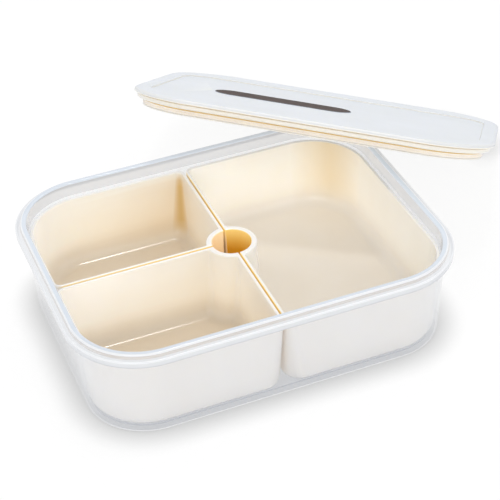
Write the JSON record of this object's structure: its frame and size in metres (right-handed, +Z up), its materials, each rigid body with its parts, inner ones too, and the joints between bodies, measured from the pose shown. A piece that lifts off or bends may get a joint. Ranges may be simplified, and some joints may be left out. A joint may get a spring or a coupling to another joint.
{
  "type": "food storage container",
  "caption": "Clear rectangular food box with rounded corners, ivory lift-out cups meeting round a central finger well, and a two-shell lid with a soft seal leaning on a corner",
  "frame": {"origin": "middle of the outer box's flat underside", "axes": "+X along the box's long side towards the large cup, +Y to the back, where the lid leans, +Z up out of the underside"},
  "size_m": [0.3285, 0.3012, 0.0927],
  "materials": {
    "clear_box": "clear injection-moulded copolyester, polished",
    "ivory_cup": "ivory injection-moulded polypropylene, satin gloss",
    "ivory_lid": "ivory-white injection-moulded polypropylene, gloss",
    "soft_seal": "moulded silicone, matt",
    "dark_plate": "dark brown gloss, blank"
  },
  "bodies": {
    "box": {"outer_box": "clear_box"},
    "cup_back_left": {"tray_back_left": "ivory_cup"},
    "cup_front_left": {"tray_front_left": "ivory_cup"},
    "cup_right": {"tray_right": "ivory_cup"},
    "lid": {"lid_cover": "ivory_lid", "lid_base": "ivory_lid", "lid_plug": "ivory_lid", "lid_seal": "soft_seal", "lid_name_plate": "dark_plate"}
  },
  "joints": [
    {"name": "cup_back_left_lift", "type": "slide", "parent": "box", "child": "cup_back_left", "axis": [0, 0, 1], "range_m": [0, 0.06]},
    {"name": "cup_front_left_lift", "type": "slide", "parent": "box", "child": "cup_front_left", "axis": [0, 0, 1], "range_m": [0, 0.06]},
    {"name": "cup_right_lift", "type": "slide", "parent": "box", "child": "cup_right", "axis": [0, 0, 1], "range_m": [0, 0.06]},
    {"name": "lid_lift", "type": "slide", "parent": "cup_right", "child": "lid", "axis": [0, 0, 1], "range_m": [0, 0.1]}
  ]
}
